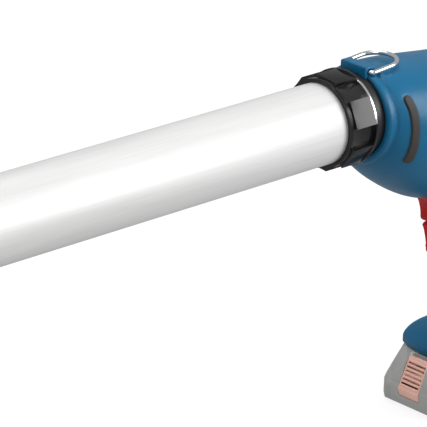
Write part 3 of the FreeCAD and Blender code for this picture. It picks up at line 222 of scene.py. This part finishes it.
ALONG_GEAR = (0.3, 1.0, 1.0)
ALONG_ROD = (0.12, 1.0, 1.0)
MATERIALS = {
    "barrel_aluminium": barrel_metal("barrel_aluminium"),
    "ring_black": moulded("ring_black", (0.006, 0.006, 0.0065), (0.16, 0.24), grain=1500.0, depth=0.00001,
                          spread=0.15),
    "collar_black": moulded("collar_black", (0.016, 0.016, 0.018), (0.38, 0.5)),
    "steel_bright": metal("steel_bright", (0.82, 0.82, 0.83), (0.12, 0.22), lines=500.0),
    "steel_gear": metal("steel_gear", (0.50, 0.50, 0.52), (0.22, 0.36), ALONG_GEAR, lines=800.0),
    "steel_zinc": metal("steel_zinc", (0.62, 0.63, 0.62), (0.26, 0.42), ALONG_ROD, lines=600.0),
    "chrome_wire": metal("chrome_wire", (0.80, 0.80, 0.80), (0.07, 0.13), lines=300.0, depth=0.00001,
                         spread=0.03),
    "housing_blue": moulded("housing_blue", (0.002, 0.125, 0.262), (0.34, 0.42), depth=0.00003, spread=0.05,
                            spec=0.36),
    "trigger_red": moulded("trigger_red", (0.56, 0.004, 0.006), (0.34, 0.44), grain=2400.0, depth=0.00003,
                           spread=0.06, spec=0.2),
    "rubber_dark": rubber("rubber_dark", (0.040, 0.036, 0.034)),
    "rubber_grip": rubber("rubber_grip", (0.020, 0.020, 0.022), cell=620.0, depth=0.0003),
    "seal_rubber": rubber("seal_rubber", (0.03, 0.03, 0.03), cell=1400.0, depth=0.00005, rough=(0.4, 0.55)),
    "nozzle_white": moulded("nozzle_white", (0.78, 0.78, 0.74), (0.35, 0.5), grain=900.0, spread=0.03),
    "case_grey": moulded("case_grey", (0.44, 0.44, 0.425), (0.42, 0.56), grain=1800.0, depth=0.00006,
                         spread=0.05),
    "latch_salmon": moulded("latch_salmon", (0.96, 0.57, 0.47), (0.38, 0.5), grain=2000.0, depth=0.00003,
                            spread=0.04),
    "cell_wrap": moulded("cell_wrap", (0.03, 0.22, 0.30), (0.2, 0.3), grain=400.0, depth=0.00002, coat=0.3,
                         spread=0.1),
    "brass_contact": metal("brass_contact", (0.78, 0.55, 0.22), (0.2, 0.35)),
    "bronze_bush": metal("bronze_bush", (0.55, 0.36, 0.18), (0.35, 0.5), lines=1600.0, depth=0.00004,
                         spread=0.12),
    "gearcase_alloy": metal("gearcase_alloy", (0.52, 0.52, 0.53), (0.42, 0.6), depth=0.0001, spread=0.1),
    "nylon_natural": moulded("nylon_natural", (0.70, 0.68, 0.60), (0.4, 0.55)),
    "copper_winding": winding("copper_winding"),
    "magnet_dark": metal("magnet_dark", (0.10, 0.10, 0.11), (0.5, 0.7), lines=900.0, depth=0.00006,
                         spread=0.15, metallic=0.3),
    "board_green": board("board_green"),
    "switch_black": moulded("switch_black", (0.02, 0.02, 0.022), (0.35, 0.5)),
}


def paint(obj, slot):
    obj.data.materials.clear()
    obj.data.materials.append(MATERIALS[slot])


# ---------------------------------------------------------------- pieces from the CAD
def copy_of(node, name):
    src = nodes[node]
    obj = bpy.data.objects.new(name, src.data.copy())
    bpy.context.scene.collection.objects.link(obj)
    return obj


MERGE = 2e-6


def weld(obj, planar=0.6):
    """Join points that meet and drop edges inside faces that are flat to within planar degrees."""
    bm = bmesh.new()
    bm.from_mesh(obj.data)
    bmesh.ops.remove_doubles(bm, verts=bm.verts, dist=MERGE)
    bmesh.ops.dissolve_degenerate(bm, edges=bm.edges, dist=1e-6)
    if planar:
        bmesh.ops.dissolve_limit(bm, angle_limit=math.radians(planar), verts=bm.verts, edges=bm.edges,
                                 delimit={"NORMAL"})
    bmesh.ops.recalc_face_normals(bm, faces=bm.faces)
    bm.to_mesh(obj.data)
    bm.free()


def apply_all(obj):
    dg = bpy.context.evaluated_depsgraph_get()
    mesh = bpy.data.meshes.new_from_object(obj.evaluated_get(dg))
    obj.modifiers.clear()
    old = obj.data
    obj.data = mesh
    bpy.data.meshes.remove(old)


def smooth(obj, angle=32.0):
    for p in obj.data.polygons:
        p.use_smooth = True
    obj.data.set_sharp_from_angle(angle=math.radians(angle))


def adopt(obj, node):
    """Give a finished piece its material and its body, and hide the CAD node it stands for."""
    slot = SLOT_OF[node]
    paint(obj, slot)
    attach(obj, BODY_OF[node])
    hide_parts(node)


EDGE_SEGMENTS, EDGE_ANGLE = 2, 38.0


def edged(node, width):
    """The CAD piece with its sharp edges rounded."""
    obj = copy_of(node, node + "_piece")
    weld(obj)
    mod = obj.modifiers.new("edge", "BEVEL")
    mod.width = width
    mod.segments = EDGE_SEGMENTS
    mod.limit_method = "ANGLE"
    mod.angle_limit = math.radians(EDGE_ANGLE)
    mod.use_clamp_overlap = True
    mod.harden_normals = False
    mod.miter_outer = "MITER_ARC"
    apply_all(obj)
    smooth(obj)
    adopt(obj, node)


# Half the gap between the two shells, and the size and middle height of the box that parts them.
SEAM = 0.00006
BOX_LONG, BOX_THICK, BOX_MIDDLE = 1.0, 0.2, 0.1


def half_space(sign):
    """A box that keeps one side of the parting plane."""
    bm = bmesh.new()
    bmesh.ops.create_cube(bm, size=1.0)
    bmesh.ops.scale(bm, verts=bm.verts, vec=(BOX_LONG, BOX_THICK, BOX_LONG))
    bmesh.ops.translate(bm, verts=bm.verts, vec=(0.0, sign * (BOX_THICK / 2 + SEAM), BOX_MIDDLE))
    mesh = bpy.data.meshes.new("half_space")
    bm.to_mesh(mesh)
    bm.free()
    obj = bpy.data.objects.new("half_space", mesh)
    bpy.context.scene.collection.objects.link(obj)
    return obj


def moulded_shell(voxel, rounds):
    """Both shells melted into one rounded moulding, then parted again on the middle plane."""
    bm = bmesh.new()
    for half in ("left_housing", "right_housing"):
        bm.from_mesh(nodes[half].data)
    bmesh.ops.remove_doubles(bm, verts=bm.verts, dist=MERGE)
    mesh = bpy.data.meshes.new("whole_shell")
    bm.to_mesh(mesh)
    bm.free()
    whole = bpy.data.objects.new("whole_shell", mesh)
    bpy.context.scene.collection.objects.link(whole)
    mod = whole.modifiers.new("skin", "REMESH")
    mod.mode = "VOXEL"
    mod.voxel_size = voxel
    mod = whole.modifiers.new("melt", "SMOOTH")
    mod.factor = 0.5
    mod.iterations = rounds
    apply_all(whole)
    for half, sign in (("left_housing", -1.0), ("right_housing", 1.0)):
        cutter = half_space(sign)
        obj = bpy.data.objects.new(half + "_piece", whole.data.copy())
        bpy.context.scene.collection.objects.link(obj)
        mod = obj.modifiers.new("part", "BOOLEAN")
        mod.operation = "INTERSECT"
        mod.solver = "FAST"
        mod.object = cutter
        apply_all(obj)
        bpy.data.objects.remove(cutter)
        smooth(obj, 60.0)
        adopt(obj, half)
    bpy.data.objects.remove(whole)


SHELL_VOXEL, SHELL_ROUNDS, SHELL_EDGE = 0.0008, 3, 0.0006

moulded_shell(SHELL_VOXEL, SHELL_ROUNDS)

# Width of the rounding on each visible piece, in metres.
EDGED = {
    "coupling_ring": 0.0005, "lock_washer": 0.0002, "neck_collar": 0.0004, "front_cap": 0.0005,
    "nozzle": 0.0003, "piston_rod": 0.00015, "piston_plate": 0.0003, "rod_grip": 0.0006,
    "rear_cap": 0.0006, "hanger_lug": 0.0007, "side_bumper_left": 0.0006, "side_bumper_right": 0.0006,
    "grip_sleeve": 0.0004, "trigger": 0.0005, "lock_off_lever": 0.0005, "release_button": 0.0004,
    "speed_dial": 0.0003, "battery_case_lower": 0.0012, "battery_case_upper": 0.0007,
    "battery_latch": 0.0005, "battery_rail": 0.0004, "housing_screws": 0.0003, "barrel_tube": 0.0003,
    "hanging_ring": 0.0002,
}
for node, width in EDGED.items():
    edged(node, width)

# Springs, listed with joint, axis, fixed end and share kept; below, each is only copied as it stands.
SPRINGS = {
    "trigger_spring": ("trigger_pull", (1.0, 0.0, 0.0), (-0.036, 0.0, 0.154), 0.26),
    "release_spring": ("retract_button_press", (0.0, 0.0, 1.0), (-0.02, 0.0, 0.252), 0.50),
    "latch_spring": ("battery_latch_press", (1.0, 0.0, 0.0), (-0.0543, 0.0, 0.0206), 0.34),
}
for node, (joint, axis, fixed_end, keep) in SPRINGS.items():
    spring = copy_of(node, node + "_piece")
    weld(spring, 0.0)
    smooth(spring, 60.0)
    adopt(spring, node)
    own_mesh(spring)

for name, obj in nodes.items():
    paint(obj, SLOT_OF[name])


# ---------------------------------------------------------------- stage, camera, light
def stage_piece(name, corners, faces, grey, glow):
    """A piece of the stage that glows evenly and throws no light back on the tool."""
    mesh = bpy.data.meshes.new(name)
    mesh.from_pydata(corners, [], faces)
    obj = bpy.data.objects.new(name, mesh)
    bpy.context.scene.collection.objects.link(obj)
    mat, _, shader = node_setup(name)
    shader.inputs["Base Color"].default_value = (grey, grey, grey, 1.0)
    shader.inputs["Emission Color"].default_value = (1.0, 1.0, 1.0, 1.0)
    shader.inputs["Emission Strength"].default_value = glow
    obj.data.materials.append(mat)
    obj.visible_diffuse = False
    obj.visible_glossy = False
    return obj, shader


FLOOR_HALF, FLOOR_Z = 24.0, -0.0005
square = [(x * FLOOR_HALF, y * FLOOR_HALF, FLOOR_Z) for x, y in ((-1, -1), (1, -1), (1, 1), (-1, 1))]
_, paper = stage_piece("stage_floor", square, [(0, 1, 2, 3)], 0.25, 0.82)
paper.inputs["Roughness"].default_value = 0.9
paper.inputs["Specular IOR Level"].default_value = 0.1

WALL_R, WALL_STEPS, WALL_FOOT, WALL_TOP = 22.0, 48, -0.2, 14.0
turns = [2 * math.pi * i / WALL_STEPS for i in range(WALL_STEPS)]
rims = [(WALL_R * math.cos(a), WALL_R * math.sin(a), z) for z in (WALL_FOOT, WALL_TOP) for a in turns]
panels = [(i, (i + 1) % WALL_STEPS, (i + 1) % WALL_STEPS + WALL_STEPS, i + WALL_STEPS)
          for i in range(WALL_STEPS)]
wall, _ = stage_piece("stage_wall", rims, panels, 0.0, 1.0)
wall.visible_shadow = False

world = bpy.data.worlds.new("studio")
bpy.context.scene.world = world
world.use_nodes = True
background = next(n for n in world.node_tree.nodes if n.type == "BACKGROUND")
background.inputs["Color"].default_value = (1.0, 1.0, 1.0, 1.0)
background.inputs["Strength"].default_value = 0.44


def softbox(name, place, aim, size, power):
    light = bpy.data.lights.new(name, "AREA")
    light.shape = "SQUARE"
    light.size = size
    light.energy = power
    obj = bpy.data.objects.new(name, light)
    bpy.context.scene.collection.objects.link(obj)
    obj.location = place
    obj.rotation_euler = (Vector(aim) - Vector(place)).to_track_quat("-Z", "Y").to_euler()


AIM = (-0.15, 0.0, 0.2)
softbox("key", (1.10, -1.45, 0.95), AIM, 1.3, 30.0)
softbox("front", (-1.9, -1.7, 1.7), AIM, 1.4, 16.0)
softbox("top", (-0.1, 0.5, 2.2), AIM, 1.2, 16.0)

# Camera: place in metres, turn about X, Y and Z in degrees, lens in millimetres.
CAMERA_PLACE = (-1.7525566, -1.5090564, 1.0329802)
CAMERA_TURN = (68.5352219, -2.0754732, -43.7441562)
CAMERA_LENS = 293.28
cam = bpy.data.cameras.new("camera")
cam.sensor_width = 36.0
cam.lens = CAMERA_LENS
cam.clip_start = 0.05
cam.clip_end = 30.0
camera = bpy.data.objects.new("camera", cam)
bpy.context.scene.collection.objects.link(camera)
camera.location = CAMERA_PLACE
camera.rotation_euler = [math.radians(turn) for turn in CAMERA_TURN]
bpy.context.scene.camera = camera
bpy.context.scene.view_settings.view_transform = "Standard"
